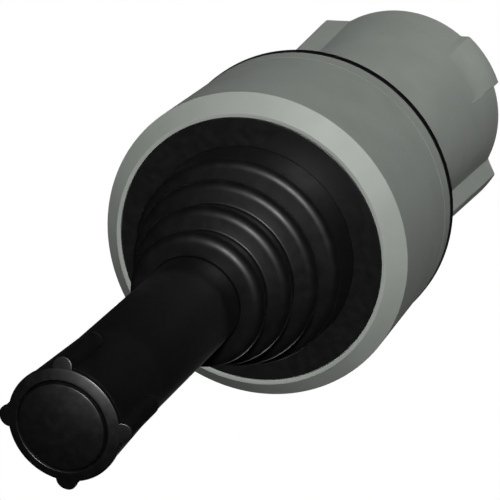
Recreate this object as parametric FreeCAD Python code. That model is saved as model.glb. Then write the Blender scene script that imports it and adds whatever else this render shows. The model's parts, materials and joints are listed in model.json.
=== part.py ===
import FreeCAD, Part
import math
import os
from FreeCAD import Vector

# Industrial joystick operator for a 22 mm panel hole. Millimetres.
# Z = 0 is the front of the panel, +Z runs along the lever to its tip, and the tip's ears lie on X and Y.

# Clearances
SEAT_GAP = 0.05
PIN_GAP = 0.04
SLIDE_GAP = 0.05
STOP_GAP = 0.10

# Lever, from its pivot down
PIVOT_Z = 8.0
HUB_R = 5.0
HUB_HALF = 2.5
SHAFT_R = 3.0
TAIL_R = 1.5
DISC_DROP = 6.0
DISC_R = 7.4
DISC_T = 1.5
NUT_T = 1.3
NUT_WALL = 0.6
PUSH_ROD_R = 0.9

# Gimbal
GIMBAL_SWING = 1.9
GIMBAL_WALL = 3.3
GIMBAL_HALF = 1.75
GIMBAL_ROOM = 1.4
PIN_R = 1.0

# Housing in front of the panel
GASKET_T = 0.75
GASKET_WIDTH = 3.29
FLANGE_T = 1.85
COLLAR_WALL = 1.6
CAVITY_FLOOR_Z = 1.5
GATE_RISE = 4.4
GATE_LEDGE = 0.65
GATE_T = 1.55
GATE_HALF = 4.7
GATE_CORNER_R = 3.0

# Bezel and face
BEZEL_WALL = 1.34
BEZEL_DRAFT = 0.16
BEZEL_SLOPE_WIDTH = 1.60
BEZEL_SLOPE_HEIGHT = 1.52
BEZEL_EDGE = 0.08
LIP_WIDTH = 0.39
FACE_T = 1.4
FACE_FLANGE_T = 0.6

# Bellows: how far each fold stands out from the handle, and up from the face
BELLOWS_WALL = 0.75
BELLOWS_BASE = 5.78
BELLOWS_FLANGE_T = 1.05
FOLD_WIDTHS = (5.63, 4.54, 3.21, 1.99)
FOLD_HEIGHTS = (3.10, 6.15, 9.40, 12.85)
FOLD_ROUND = 0.95
FOLD_LAND = 1.0
FOLD_DROP = 0.25
BELLOWS_COLLAR_T = 0.6
BELLOWS_COLLAR_LENGTH = 2.4

# Handle, its tip and the button in it
HANDLE_LENGTH = 28.2
HANDLE_R = 4.27
HANDLE_FLARE = 0.35
HANDLE_FLARE_LENGTH = 8.9
HANDLE_FOOT = 0.2
DOME_R = 12.0
CAP_HEIGHT = 1.6
TIP_RIB_R = 0.83
TIP_RIB_OUT = 0.05
TIP_RIB_LENGTH = 5.9
EAR_OUT = 0.16
EAR_RISE = 0.6
EAR_SLOPE = 0.283
RIM_OUT = 0.10
RIM_BEVEL = 0.3
CAP_WALL = 0.96
BUTTON_BEVEL = 0.1
BUTTON_TRAVEL = 1.5
BUTTON_FLANGE = 0.24
BUTTON_FLANGE_T = 0.8
BOSS_R = 2.3
BOSS_LENGTH = 2.45
BOSS_ROOM = 0.2
SPRING_ROOM = 3.9
ROD_SOCKET = 0.7

# Plungers and their guide
PLUNGER_AT = 5.5
PLUNGER_R = 1.5
PLUNGER_NOSE_R = 0.6
PLUNGER_NOSE = 0.68
PLUNGER_PLAY = 0.6
PLUNGER_COLLAR_R = 2.4
PLUNGER_COLLAR_T = 1.0
PLUNGER_COLLAR_Z = -14.0
PLUNGER_RECESS = 0.4
CENTRE_R = 1.6
CENTRE_HEAD_R = 2.6
CENTRE_HEAD_T = 1.0
CENTRE_PLAY = 0.4
PLATE_Z = -8.0
PLATE_T = 3.0
LEG_INSET = 1.9
LEG_R = 1.4
SCREW_R = 0.8
SCREW_LENGTH = 6.0
SCREW_HEAD_R = 1.55
SCREW_HEAD_T = 0.9
SCREW_SLOT = 0.4

# Housing behind the panel
REAR_Z = -31.0
PANEL_HOLE_R = 11.15
PANEL_HOLE_GAP = 0.10
PANEL_ROOM = 2.9
TUBE_ROOM = 0.9
TUBE_WALL = 0.8
WELL_WALL = 0.5
STEP_OUT = 0.6
STEP_LENGTH = 3.5
COVER_T = 1.8

# Ribbed sleeve
SLEEVE_WALL = 1.41
SLEEVE_FLARE = 0.047
SLEEVE_COLLAR_WALL = 0.55
SLEEVE_COLLAR_LENGTH = 3.1
SLEEVE_NECK = 1.2
CLAMP_OUT = 1.3
CLAMP_T = 1.0
RIB_HEIGHT = 1.54
RIB_FLARE = 0.05
RIB_EDGE = 0.2
RIB_ANGLES = (140.2, 317.0)
RIB_ROOT_SPAN = (-18.5, 18.5)
RIB_CREST_SPAN = (-8.2, 13.1)
LUG_HEIGHT = 0.64
LUG_T = 0.5
LUG_ANGLES = (35.5, 215.5)
LUG_ROOT_SPAN = (-16.5, 21.0)
LUG_CREST_SPAN = (-15.0, 13.5)
FIXING_R = 1.0
FIXING_Z = -20.0
FIXING_ANGLE = 266
FIXING_DEPTH = 1.5

# Springs
BUTTON_COIL_R = 1.8
BUTTON_WIRE = 0.35
BUTTON_TURNS = 4
CENTRING_COIL_R = 3.4
CENTRING_WIRE = 0.5
CENTRING_TURNS = 4
CENTRE_COIL_R = 2.1
CENTRE_WIRE = 0.4
CENTRE_TURNS = 3
PLUNGER_COIL_R = 2.0
PLUNGER_WIRE = 0.4
PLUNGER_TURNS = 5
COIL_STEPS = 12
WIRE_SIDES = 6

# Radii in front of the panel, from the lever outwards
GIMBAL_BORE_R = HUB_R + GIMBAL_SWING
GIMBAL_R = GIMBAL_BORE_R + GIMBAL_WALL
CAVITY_R = GIMBAL_R + GIMBAL_ROOM
GATE_R = CAVITY_R + GATE_LEDGE
COLLAR_R = CAVITY_R + COLLAR_WALL
BEZEL_BORE_R = COLLAR_R + SEAT_GAP
BEZEL_REAR_R = BEZEL_BORE_R + BEZEL_WALL
BEZEL_R = BEZEL_REAR_R + BEZEL_DRAFT
LIP_OUTER_R = BEZEL_R - BEZEL_SLOPE_WIDTH
LIP_INNER_R = LIP_OUTER_R - LIP_WIDTH
CLAMPED_R = BEZEL_BORE_R - 3 * SEAT_GAP
BELLOWS_R = HANDLE_R + BELLOWS_BASE

# Heights in front of the panel
FLANGE_Z = GASKET_T + FLANGE_T
GATE_Z = PIVOT_Z + GATE_RISE
COLLAR_TOP_Z = GATE_Z + GATE_T
FACE_SEAT_Z = COLLAR_TOP_Z + BELLOWS_FLANGE_T
FACE_Z = FACE_SEAT_Z + FACE_FLANGE_T
FRONT_Z = FACE_Z + FACE_T
SHOULDER_Z = FRONT_Z - BEZEL_SLOPE_HEIGHT
FOLDS = tuple((HANDLE_R + width, FRONT_Z + height) for width, height in zip(FOLD_WIDTHS, FOLD_HEIGHTS))
BELLOWS_TOP_Z = FOLDS[-1][1] + FOLD_ROUND + STOP_GAP
BELLOWS_COLLAR_Z = BELLOWS_TOP_Z - BELLOWS_COLLAR_LENGTH
DISC_Z = PIVOT_Z - DISC_DROP
TAIL_Z = DISC_Z - NUT_T - STOP_GAP
PUSH_ROD_Z = TAIL_Z - 3 * STOP_GAP
PUSH_BORE_R = PUSH_ROD_R + SLIDE_GAP

# Handle and button
TIP_Z = BELLOWS_TOP_Z + HANDLE_LENGTH
CAP_Z = TIP_Z - CAP_HEIGHT
HANDLE_FOOT_Z = BELLOWS_COLLAR_Z - HANDLE_FOOT
HANDLE_TIP_R = HANDLE_R + HANDLE_FLARE
BUTTON_R = HANDLE_TIP_R - CAP_WALL
BUTTON_BORE_R = BUTTON_R + SLIDE_GAP
BUTTON_FLANGE_R = BUTTON_R + BUTTON_FLANGE
BUTTON_FLANGE_Z = CAP_Z - SEAT_GAP - BUTTON_FLANGE_T
CHAMBER_R = BUTTON_FLANGE_R + SEAT_GAP
CHAMBER_Z = BUTTON_FLANGE_Z - BUTTON_TRAVEL - STOP_GAP
BOSS_Z = BUTTON_FLANGE_Z - BOSS_LENGTH
SHAFT_TOP_Z = BOSS_Z - SPRING_ROOM

# Behind the panel, from the plungers outwards
TUBE_BORE_R = PLUNGER_AT + PLUNGER_COLLAR_R + TUBE_ROOM
TUBE_R = TUBE_BORE_R + TUBE_WALL
WELL_R = TUBE_R - WELL_WALL
STEP_R = TUBE_R + STEP_OUT
REGISTER_R = PANEL_HOLE_R - PANEL_HOLE_GAP
SLEEVE_BORE_R = TUBE_R + SEAT_GAP
SLEEVE_R = SLEEVE_BORE_R + SLEEVE_WALL
SLEEVE_COLLAR_R = STEP_R + SEAT_GAP + SLEEVE_COLLAR_WALL
CLAMP_R = SLEEVE_COLLAR_R + CLAMP_OUT
STEP_Z = -PANEL_ROOM - STEP_LENGTH
TUBE_END_Z = REAR_Z + COVER_T
PLATE_TOP_Z = PLATE_Z + PLATE_T
CENTRE_HEAD_Z = PUSH_ROD_Z - CENTRE_PLAY - CENTRE_HEAD_T
PLUNGER_TIP_Z = DISC_Z - PLUNGER_PLAY
PLUNGER_END_Z = REAR_Z + PLUNGER_RECESS
PLUNGER_PLACES = {
    "px": (PLUNGER_AT, 0),
    "nx": (-PLUNGER_AT, 0),
    "py": (0, PLUNGER_AT),
    "ny": (0, -PLUNGER_AT),
}
LEG_STEP = (TUBE_BORE_R - LEG_INSET) * math.sqrt(0.5)
LEG_PLACES = [(LEG_STEP, LEG_STEP), (-LEG_STEP, LEG_STEP), (-LEG_STEP, -LEG_STEP), (LEG_STEP, -LEG_STEP)]

AXIS = Vector(0, 0, 1)
ORIGIN = Vector(0, 0, 0)
PAST = 1.0


# Shapes

def cyl(radius, z0, z1, x=0, y=0):
    return Part.makeCylinder(radius, z1 - z0, Vector(x, y, z0))


def ring(inner, outer, z0, z1):
    return cyl(outer, z0, z1).cut(cyl(inner, z0 - PAST, z1 + PAST))


def polar(radius, angle, z):
    return Vector(radius * math.cos(math.radians(angle)), radius * math.sin(math.radians(angle)), z)


def bar(radius, start, end, angle, z):
    """A round bar lying at height z, from one distance to another along an angle."""
    return Part.makeCylinder(radius, end - start, polar(start, angle, z), polar(1, angle, 0))


def line(a, b):
    return Part.LineSegment(Vector(a[0], 0, a[1]), Vector(b[0], 0, b[1])).toShape()


def arc(a, b, c):
    return Part.Arc(Vector(a[0], 0, a[1]), Vector(b[0], 0, b[1]), Vector(c[0], 0, c[1])).toShape()


def turned_edges(edges):
    """A solid of revolution from the edges of a closed outline."""
    return Part.Face(Part.Wire(Part.__sortEdges__(edges))).revolve(ORIGIN, AXIS, 360)


def turned(points):
    """A solid of revolution from (radius, height) corners."""
    return turned_edges([line(a, b) for a, b in zip(points, points[1:] + points[:1])])


def around(shape, angle):
    copy = shape.copy()
    copy.rotate(ORIGIN, AXIS, angle)
    return copy


def fused(shapes):
    return shapes[0].multiFuse(shapes[1:]).removeSplitter()


def four(shape):
    return [around(shape, angle) for angle in (0, 90, 180, 270)]


def coil(radius, wire, turns, z0, z1, x=0, y=0):
    """A compression spring between two seats, lofted through sections of its wire."""
    rise = z1 - z0 - wire
    slope = math.atan2(rise / turns, 2 * math.pi * radius)
    sections = []
    for step in range(turns * COIL_STEPS + 1):
        turn = 2 * math.pi * step / COIL_STEPS
        out = Vector(math.cos(turn), math.sin(turn), 0)
        up = Vector(math.sin(turn) * math.sin(slope), -math.cos(turn) * math.sin(slope), math.cos(slope))
        height = z0 + wire / 2 + rise * step / (turns * COIL_STEPS)
        centre = Vector(x, y, height) + out * radius
        corners = []
        for side in range(WIRE_SIDES):
            way = 2 * math.pi * side / WIRE_SIDES
            corners.append(centre + (out * math.cos(way) + up * math.sin(way)) * (wire / 2))
        sections.append(Part.makePolygon(corners + corners[:1]))
    return Part.makeLoft(sections, True, True)


def dome_z(radius):
    """Height of the tip's dome at a radius."""
    return TIP_Z - DOME_R + math.sqrt(DOME_R ** 2 - radius ** 2)


# Front and housing

def panel_gasket():
    return ring(BEZEL_REAR_R - GASKET_WIDTH, BEZEL_REAR_R, 0, GASKET_T)


def housing_barrel():
    """Flange, collar, register for the panel hole and the tube that holds the plungers."""
    body = turned([
        (TUBE_BORE_R, TUBE_END_Z),
        (TUBE_R, TUBE_END_Z),
        (TUBE_R, STEP_Z),
        (STEP_R, STEP_Z),
        (STEP_R, -PANEL_ROOM),
        (REGISTER_R, -PANEL_ROOM),
        (REGISTER_R, GASKET_T),
        (BEZEL_REAR_R, GASKET_T),
        (BEZEL_REAR_R, FLANGE_Z),
        (COLLAR_R, FLANGE_Z),
        (COLLAR_R, COLLAR_TOP_Z),
        (GATE_R, COLLAR_TOP_Z),
        (GATE_R, GATE_Z),
        (CAVITY_R, GATE_Z),
        (CAVITY_R, CAVITY_FLOOR_Z),
        (WELL_R, CAVITY_FLOOR_Z),
        (WELL_R, PLATE_Z),
        (TUBE_BORE_R, PLATE_Z),
    ])
    body = body.cut(bar(PIN_R + PIN_GAP, -BEZEL_R, BEZEL_R, 0, PIVOT_Z))
    return body.cut(bar(FIXING_R + SEAT_GAP, TUBE_BORE_R - PAST, TUBE_R + PAST, FIXING_ANGLE, FIXING_Z))


def bezel_ring():
    return turned([
        (BEZEL_BORE_R, FLANGE_Z),
        (BEZEL_REAR_R, FLANGE_Z),
        (BEZEL_R, SHOULDER_Z - 2 * BEZEL_EDGE),
        (BEZEL_R - BEZEL_EDGE, SHOULDER_Z + BEZEL_EDGE),
        (LIP_OUTER_R, FRONT_Z),
        (LIP_INNER_R, FRONT_Z),
        (LIP_INNER_R, FACE_Z),
        (BEZEL_BORE_R, FACE_Z),
    ])


def face_plate():
    """Flat ring round the bellows; the bezel's lip holds its flange, and its flange the bellows."""
    bore = BELLOWS_R + 2 * SEAT_GAP
    return turned([
        (bore, FACE_SEAT_Z),
        (CLAMPED_R, FACE_SEAT_Z),
        (CLAMPED_R, FACE_Z),
        (LIP_INNER_R - SEAT_GAP, FACE_Z),
        (LIP_INNER_R - SEAT_GAP, FRONT_Z),
        (bore, FRONT_Z),
    ])


def bellows():
    """Rubber boot: a clamped flange, an upright base wall, four folds and a collar round the handle."""
    bore = HANDLE_R + SEAT_GAP
    slant = FOLD_ROUND * math.sqrt(0.5)
    foot = (BELLOWS_R, FOLDS[0][1] - FOLD_ROUND)
    edges = [
        line((CLAMPED_R, FACE_SEAT_Z), (BELLOWS_R, FACE_SEAT_Z)),
        line((BELLOWS_R, FACE_SEAT_Z), foot),
    ]
    for number, (radius, height) in enumerate(FOLDS):
        widest = (radius, height)
        crest = (radius - FOLD_ROUND, height + FOLD_ROUND)
        edges.append(line(foot, widest))
        edges.append(arc(widest, (crest[0] + slant, height + slant), crest))
        foot = (crest[0] - FOLD_LAND, crest[1] + FOLD_DROP)
        if number < len(FOLDS) - 1:
            edges.append(line(crest, foot))
    inside = [
        (FOLDS[-1][0] - FOLD_ROUND, BELLOWS_TOP_Z - STOP_GAP),
        (bore, BELLOWS_TOP_Z),
        (bore, BELLOWS_COLLAR_Z),
        (bore + BELLOWS_COLLAR_T, BELLOWS_COLLAR_Z),
    ]
    for (radius, height), lower in zip(FOLDS[:0:-1], FOLDS[-2::-1]):
        inner = radius - BELLOWS_WALL
        top = height + FOLD_ROUND - BELLOWS_WALL
        inside.append((max(inner - FOLD_ROUND / 2, bore + BELLOWS_COLLAR_T), top))
        inside.append((inner, height - STOP_GAP))
        valley_r = lower[0] - FOLD_ROUND - FOLD_LAND
        valley_z = lower[1] + FOLD_ROUND + FOLD_DROP
        inside.append((valley_r - BELLOWS_WALL, valley_z - BELLOWS_WALL))
    inside += [
        (FOLDS[0][0] - FOLD_ROUND, FOLDS[0][1] + FOLD_ROUND - BELLOWS_WALL),
        (BELLOWS_R - BELLOWS_WALL, FOLDS[0][1] - STOP_GAP),
        (BELLOWS_R - BELLOWS_WALL, COLLAR_TOP_Z),
        (CLAMPED_R, COLLAR_TOP_Z),
        (CLAMPED_R, FACE_SEAT_Z),
    ]
    edges += [line(a, b) for a, b in zip(inside, inside[1:])]
    return turned_edges(edges)


def gate_plate():
    """Plate with the rounded square opening that limits the lever's travel."""
    corner = Vector(-GATE_HALF, -GATE_HALF, GATE_Z - PAST)
    opening = Part.makeBox(2 * GATE_HALF, 2 * GATE_HALF, GATE_T + 2 * PAST, corner)
    upright = [e for e in opening.Edges if abs(e.Vertexes[0].Z - e.Vertexes[1].Z) > PAST]
    return cyl(GATE_R - SEAT_GAP, GATE_Z, COLLAR_TOP_Z).cut(opening.makeFillet(GATE_CORNER_R, upright))


# Ribbed sleeve

def flared_r(radius, flare, z):
    """Radius at height z of a surface that has the given radius at the rear and narrows forward."""
    return radius - flare * (z - REAR_Z)


def flanks(height, root_span, crest_span):
    """A wedge between two flanks that lean in from the sleeve, its angles measured about X."""
    sections = []
    for z in (REAR_Z - PAST, 0):
        corners = []
        for root_angle, crest_angle in zip(root_span, crest_span):
            root = polar(flared_r(SLEEVE_R, SLEEVE_FLARE, z), root_angle, z)
            crest = polar(flared_r(SLEEVE_R + height, RIB_FLARE, z), crest_angle, z)
            corners.append([root * 2 - crest, crest * 2 - root])
        loop = corners[0] + corners[1][::-1]
        sections.append(Part.makePolygon(loop + loop[:1]))
    return Part.makeLoft(sections, True, True)


def sleeve_rib():
    """One rib, running forward from the sleeve's rear end to its collar."""
    crest_r = SLEEVE_R + RIB_HEIGHT
    root_r = SLEEVE_BORE_R + 2 * SEAT_GAP
    root_step_r = STEP_R + 4 * SEAT_GAP
    outline = turned([
        (root_r, REAR_Z),
        (crest_r - RIB_EDGE, REAR_Z),
        (crest_r, REAR_Z + RIB_EDGE),
        (flared_r(crest_r, RIB_FLARE, STEP_Z) - 2 * SEAT_GAP, STEP_Z),
        (SLEEVE_COLLAR_R - 2 * SEAT_GAP, STEP_Z + SLEEVE_NECK),
        (root_step_r, STEP_Z + SLEEVE_NECK),
        (root_step_r, STEP_Z - 4 * STOP_GAP),
        (root_r, STEP_Z - SLEEVE_NECK),
    ])
    return outline.common(flanks(RIB_HEIGHT, RIB_ROOT_SPAN, RIB_CREST_SPAN))


def sleeve_lug():
    """One thin low lug at the sleeve's rear end."""
    edge = ring(SLEEVE_BORE_R + 2 * SEAT_GAP, SLEEVE_R + LUG_HEIGHT, REAR_Z, REAR_Z + LUG_T)
    return edge.common(flanks(LUG_HEIGHT, LUG_ROOT_SPAN, LUG_CREST_SPAN))


def fixing_sleeve():
    """Slightly flared sleeve that clamps the panel from behind, with two ribs and two lugs."""
    collar_z = -PANEL_ROOM - SLEEVE_COLLAR_LENGTH
    neck_z = collar_z - SLEEVE_NECK
    clamp_z = -PANEL_ROOM - CLAMP_T
    tube = turned([
        (SLEEVE_BORE_R, REAR_Z),
        (SLEEVE_R, REAR_Z),
        (flared_r(SLEEVE_R, SLEEVE_FLARE, neck_z), neck_z),
        (SLEEVE_COLLAR_R, collar_z),
        (SLEEVE_COLLAR_R, clamp_z),
        (CLAMP_R, clamp_z),
        (CLAMP_R, -PANEL_ROOM),
        (STEP_R + SEAT_GAP, -PANEL_ROOM),
        (STEP_R + SEAT_GAP, STEP_Z - STOP_GAP),
        (SLEEVE_BORE_R, STEP_Z - STOP_GAP),
    ])
    ribs = [around(sleeve_rib(), angle) for angle in RIB_ANGLES]
    lugs = [around(sleeve_lug(), angle) for angle in LUG_ANGLES]
    body = fused([tube] + ribs + lugs)
    return body.cut(bar(FIXING_R + SEAT_GAP, TUBE_BORE_R, BEZEL_R, FIXING_ANGLE, FIXING_Z))


def fixing_screw():
    """Grub screw through the sleeve into the tube."""
    start = TUBE_BORE_R + STOP_GAP
    screw = bar(FIXING_R, start, start + FIXING_DEPTH, FIXING_ANGLE, FIXING_Z)
    return screw.cut(bar(FIXING_R / 2, start + FIXING_DEPTH / 2, BEZEL_R, FIXING_ANGLE, FIXING_Z))


# Pivot and lever

def gimbal_ring():
    body = ring(GIMBAL_BORE_R, GIMBAL_R, PIVOT_Z - GIMBAL_HALF, PIVOT_Z + GIMBAL_HALF)
    body = body.cut(bar(PIN_R, -BEZEL_R, BEZEL_R, 0, PIVOT_Z))
    return body.cut(bar(PIN_R + PIN_GAP, -BEZEL_R, BEZEL_R, 90, PIVOT_Z))


def trunnion_pins():
    """Fast in the gimbal ring, turning in the housing's collar."""
    return [bar(PIN_R, GIMBAL_BORE_R, COLLAR_R - 3 * STOP_GAP, angle, PIVOT_Z) for angle in (0, 180)]


def pivot_pins():
    """Fast in the lever's hub, turning in the gimbal ring."""
    return [bar(PIN_R, SHAFT_R, GIMBAL_R - 4 * STOP_GAP, angle, PIVOT_Z) for angle in (90, 270)]


def lever_shaft():
    body = fused([
        cyl(TAIL_R, TAIL_Z, DISC_Z + DISC_T),
        cyl(SHAFT_R, DISC_Z + DISC_T, SHAFT_TOP_Z),
        cyl(HUB_R, PIVOT_Z - HUB_HALF, PIVOT_Z + HUB_HALF),
    ])
    body = body.cut(cyl(PUSH_BORE_R, TAIL_Z - PAST, SHAFT_TOP_Z + PAST))
    return body.cut(Part.makeCompound(pivot_pins()))


def wobble_disc():
    return ring(TAIL_R, DISC_R, DISC_Z, DISC_Z + DISC_T)


def lever_nut():
    corner_r = (TAIL_R + NUT_WALL) / math.cos(math.pi / 6)
    corners = []
    for corner in range(6):
        way = math.pi * corner / 3
        corners.append(Vector(corner_r * math.cos(way), corner_r * math.sin(way), DISC_Z - NUT_T))
    nut = Part.Face(Part.makePolygon(corners + corners[:1])).extrude(AXIS * NUT_T)
    return nut.cut(cyl(TAIL_R, DISC_Z - NUT_T - PAST, DISC_Z + PAST))


# Handle and button

def handle_grip():
    """Slim handle that widens towards its tip, with four half-round ribs there."""
    rib_z = CAP_Z - TIP_RIB_LENGTH
    bore_r = SHAFT_R + SEAT_GAP
    body = turned([
        (bore_r, HANDLE_FOOT_Z),
        (HANDLE_R, HANDLE_FOOT_Z),
        (HANDLE_R, CAP_Z - HANDLE_FLARE_LENGTH),
        (HANDLE_TIP_R, CAP_Z),
        (CHAMBER_R, CAP_Z),
        (CHAMBER_R, CHAMBER_Z),
        (BOSS_R + BOSS_ROOM, CHAMBER_Z),
        (BOSS_R + BOSS_ROOM, SHAFT_TOP_Z),
        (bore_r, SHAFT_TOP_Z),
    ])
    axis_r = HANDLE_TIP_R + TIP_RIB_OUT
    rib = cyl(TIP_RIB_R, rib_z + TIP_RIB_R, CAP_Z, axis_r)
    nose = Part.makeSphere(TIP_RIB_R, Vector(axis_r, 0, rib_z + TIP_RIB_R))
    rib = rib.fuse(nose).cut(cyl((CHAMBER_R + HANDLE_TIP_R) / 2, rib_z - PAST, CAP_Z + PAST))
    return fused([body] + four(rib))


def end_cap():
    """Domed rim round the button, with four ears that end the ribs."""
    rim_r = HANDLE_TIP_R + RIM_OUT
    inner_r = BUTTON_BORE_R + BUTTON_BEVEL
    middle_r = (inner_r + rim_r) / 2
    inner = (inner_r, dome_z(inner_r))
    bore_top = (BUTTON_BORE_R, dome_z(BUTTON_BORE_R) - BUTTON_BEVEL)
    middle = (middle_r, dome_z(middle_r))
    edge = (rim_r, dome_z(rim_r))
    rim = turned_edges([
        line((BUTTON_BORE_R, CAP_Z), (HANDLE_TIP_R, CAP_Z)),
        line((HANDLE_TIP_R, CAP_Z), (rim_r, CAP_Z + RIM_BEVEL)),
        line((rim_r, CAP_Z + RIM_BEVEL), edge),
        arc(edge, middle, inner),
        line(inner, bore_top),
        line(bore_top, (BUTTON_BORE_R, CAP_Z)),
    ])
    inside_r = HANDLE_TIP_R
    outside_r = rim_r + 2 * TIP_RIB_R
    ear_top = CAP_Z + EAR_RISE
    under_slope = turned([
        (inside_r, CAP_Z - PAST),
        (outside_r, CAP_Z - PAST),
        (outside_r, ear_top - EAR_SLOPE * (outside_r - inside_r)),
        (inside_r, ear_top),
    ])
    ear = cyl(TIP_RIB_R, CAP_Z, TIP_Z, HANDLE_TIP_R + EAR_OUT).common(under_slope)
    return fused([rim] + four(ear))


def push_button():
    """Flush domed disc in the end of the handle, kept in by its flange."""
    edge = (BUTTON_R - BUTTON_BEVEL, dome_z(BUTTON_R - BUTTON_BEVEL))
    side_top = (BUTTON_R, dome_z(BUTTON_R) - BUTTON_BEVEL)
    flange_top = BUTTON_FLANGE_Z + BUTTON_FLANGE_T
    body = turned_edges([
        line((0, BOSS_Z), (BOSS_R, BOSS_Z)),
        line((BOSS_R, BOSS_Z), (BOSS_R, BUTTON_FLANGE_Z)),
        line((BOSS_R, BUTTON_FLANGE_Z), (BUTTON_FLANGE_R, BUTTON_FLANGE_Z)),
        line((BUTTON_FLANGE_R, BUTTON_FLANGE_Z), (BUTTON_FLANGE_R, flange_top)),
        line((BUTTON_FLANGE_R, flange_top), (BUTTON_R, flange_top)),
        line((BUTTON_R, flange_top), side_top),
        line(side_top, edge),
        arc(edge, (BUTTON_R / 2, dome_z(BUTTON_R / 2)), (0, TIP_Z)),
        line((0, TIP_Z), (0, BOSS_Z)),
    ])
    return body.cut(cyl(PUSH_ROD_R, BOSS_Z - PAST, BOSS_Z + ROD_SOCKET))


def push_rod():
    return cyl(PUSH_ROD_R, PUSH_ROD_Z, BOSS_Z + ROD_SOCKET)


# Plungers, guide and rear cover

def plunger(x, y):
    nose_z = PLUNGER_TIP_Z - PLUNGER_NOSE
    rod = turned([
        (0, PLUNGER_END_Z),
        (PLUNGER_R, PLUNGER_END_Z),
        (PLUNGER_R, nose_z),
        (PLUNGER_NOSE_R, PLUNGER_TIP_Z),
        (0, PLUNGER_TIP_Z),
    ])
    body = fused([rod, cyl(PLUNGER_COLLAR_R, PLUNGER_COLLAR_Z, PLUNGER_COLLAR_Z + PLUNGER_COLLAR_T)])
    body.translate(Vector(x, y, 0))
    return body


def centre_plunger():
    head = cyl(CENTRE_HEAD_R, CENTRE_HEAD_Z, CENTRE_HEAD_Z + CENTRE_HEAD_T)
    return fused([head, cyl(CENTRE_R, PLUNGER_END_Z, CENTRE_HEAD_Z)])


def bored(body, z0, z1):
    """The body with the five plungers' bores through it."""
    bores = [cyl(PLUNGER_R + SLIDE_GAP, z0 - PAST, z1 + PAST, x, y) for x, y in PLUNGER_PLACES.values()]
    bores.append(cyl(CENTRE_R + SLIDE_GAP, z0 - PAST, z1 + PAST))
    return body.cut(Part.makeCompound(bores))


def guide_plate():
    """Plunger guide with four legs that carry the rear cover."""
    plate = bored(cyl(WELL_R - SEAT_GAP, PLATE_Z, PLATE_TOP_Z), PLATE_Z, PLATE_TOP_Z)
    legs = [cyl(LEG_R, TUBE_END_Z, PLATE_Z, x, y) for x, y in LEG_PLACES]
    holes = [cyl(SCREW_R, TUBE_END_Z - PAST, TUBE_END_Z + SCREW_LENGTH, x, y) for x, y in LEG_PLACES]
    return fused([plate] + legs).cut(Part.makeCompound(holes))


def rear_cover():
    body = bored(cyl(TUBE_R, REAR_Z, TUBE_END_Z), REAR_Z, TUBE_END_Z)
    for x, y in LEG_PLACES:
        body = body.cut(cyl(SCREW_R + SEAT_GAP, REAR_Z - PAST, TUBE_END_Z + PAST, x, y))
        head_seat = REAR_Z + STOP_GAP + SCREW_HEAD_T
        body = body.cut(cyl(SCREW_HEAD_R + 3 * SEAT_GAP, REAR_Z - PAST, head_seat, x, y))
    return body


def rear_screws():
    """Four cross-slotted screws through the rear cover into the guide's legs."""
    head_z = REAR_Z + STOP_GAP
    shank_end = TUBE_END_Z + SCREW_LENGTH - 3 * STOP_GAP
    screws = []
    for x, y in LEG_PLACES:
        screw = fused([
            cyl(SCREW_R, head_z, shank_end, x, y),
            cyl(SCREW_HEAD_R, head_z, head_z + SCREW_HEAD_T, x, y),
        ])
        for angle in (0, 90):
            corner = Vector(-SCREW_HEAD_R / 2, -SCREW_SLOT / 2, 0)
            slot = Part.makeBox(SCREW_HEAD_R, SCREW_SLOT, SCREW_SLOT, corner)
            slot.rotate(ORIGIN, AXIS, angle)
            slot.translate(Vector(x, y, head_z))
            screw = screw.cut(slot)
        screws.append(screw)
    return screws


def save(name, shape):
    whole = Part.makeCompound(shape) if isinstance(shape, list) else shape
    whole.exportStep("parts/" + name + ".step")
    print(name, "valid", whole.isValid(), "solids", len(whole.Solids), "volume", round(whole.Volume, 2))


os.makedirs("parts", exist_ok=True)
save("panel_gasket", panel_gasket())
save("housing_barrel", housing_barrel())
save("bezel_ring", bezel_ring())
save("face_plate", face_plate())
save("bellows", bellows())
save("gate_plate", gate_plate())
save("fixing_sleeve", fixing_sleeve())
save("fixing_screw", fixing_screw())
save("gimbal_ring", gimbal_ring())
save("trunnion_pins", trunnion_pins())
save("pivot_pins", pivot_pins())
save("lever_shaft", lever_shaft())
save("wobble_disc", wobble_disc())
save("lever_nut", lever_nut())
save("centring_spring", coil(CENTRING_COIL_R, CENTRING_WIRE, CENTRING_TURNS, PLATE_TOP_Z, DISC_Z))
save("handle_grip", handle_grip())
save("end_cap", end_cap())
save("push_button", push_button())
save("push_rod", push_rod())
save("button_spring", coil(BUTTON_COIL_R, BUTTON_WIRE, BUTTON_TURNS, SHAFT_TOP_Z, BOSS_Z))
save("guide_plate", guide_plate())
save("rear_cover", rear_cover())
save("rear_screws", rear_screws())
save("centre_plunger", centre_plunger())
save("centre_spring", coil(CENTRE_COIL_R, CENTRE_WIRE, CENTRE_TURNS, PLATE_TOP_Z, CENTRE_HEAD_Z))
for side, (x, y) in PLUNGER_PLACES.items():
    save("plunger_" + side, plunger(x, y))
    spring = coil(PLUNGER_COIL_R, PLUNGER_WIRE, PLUNGER_TURNS, TUBE_END_Z, PLUNGER_COLLAR_Z, x, y)
    save("plunger_spring_" + side, spring)
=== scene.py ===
import json
import math

import bmesh
import bpy
from mathutils import Matrix, Vector


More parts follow.
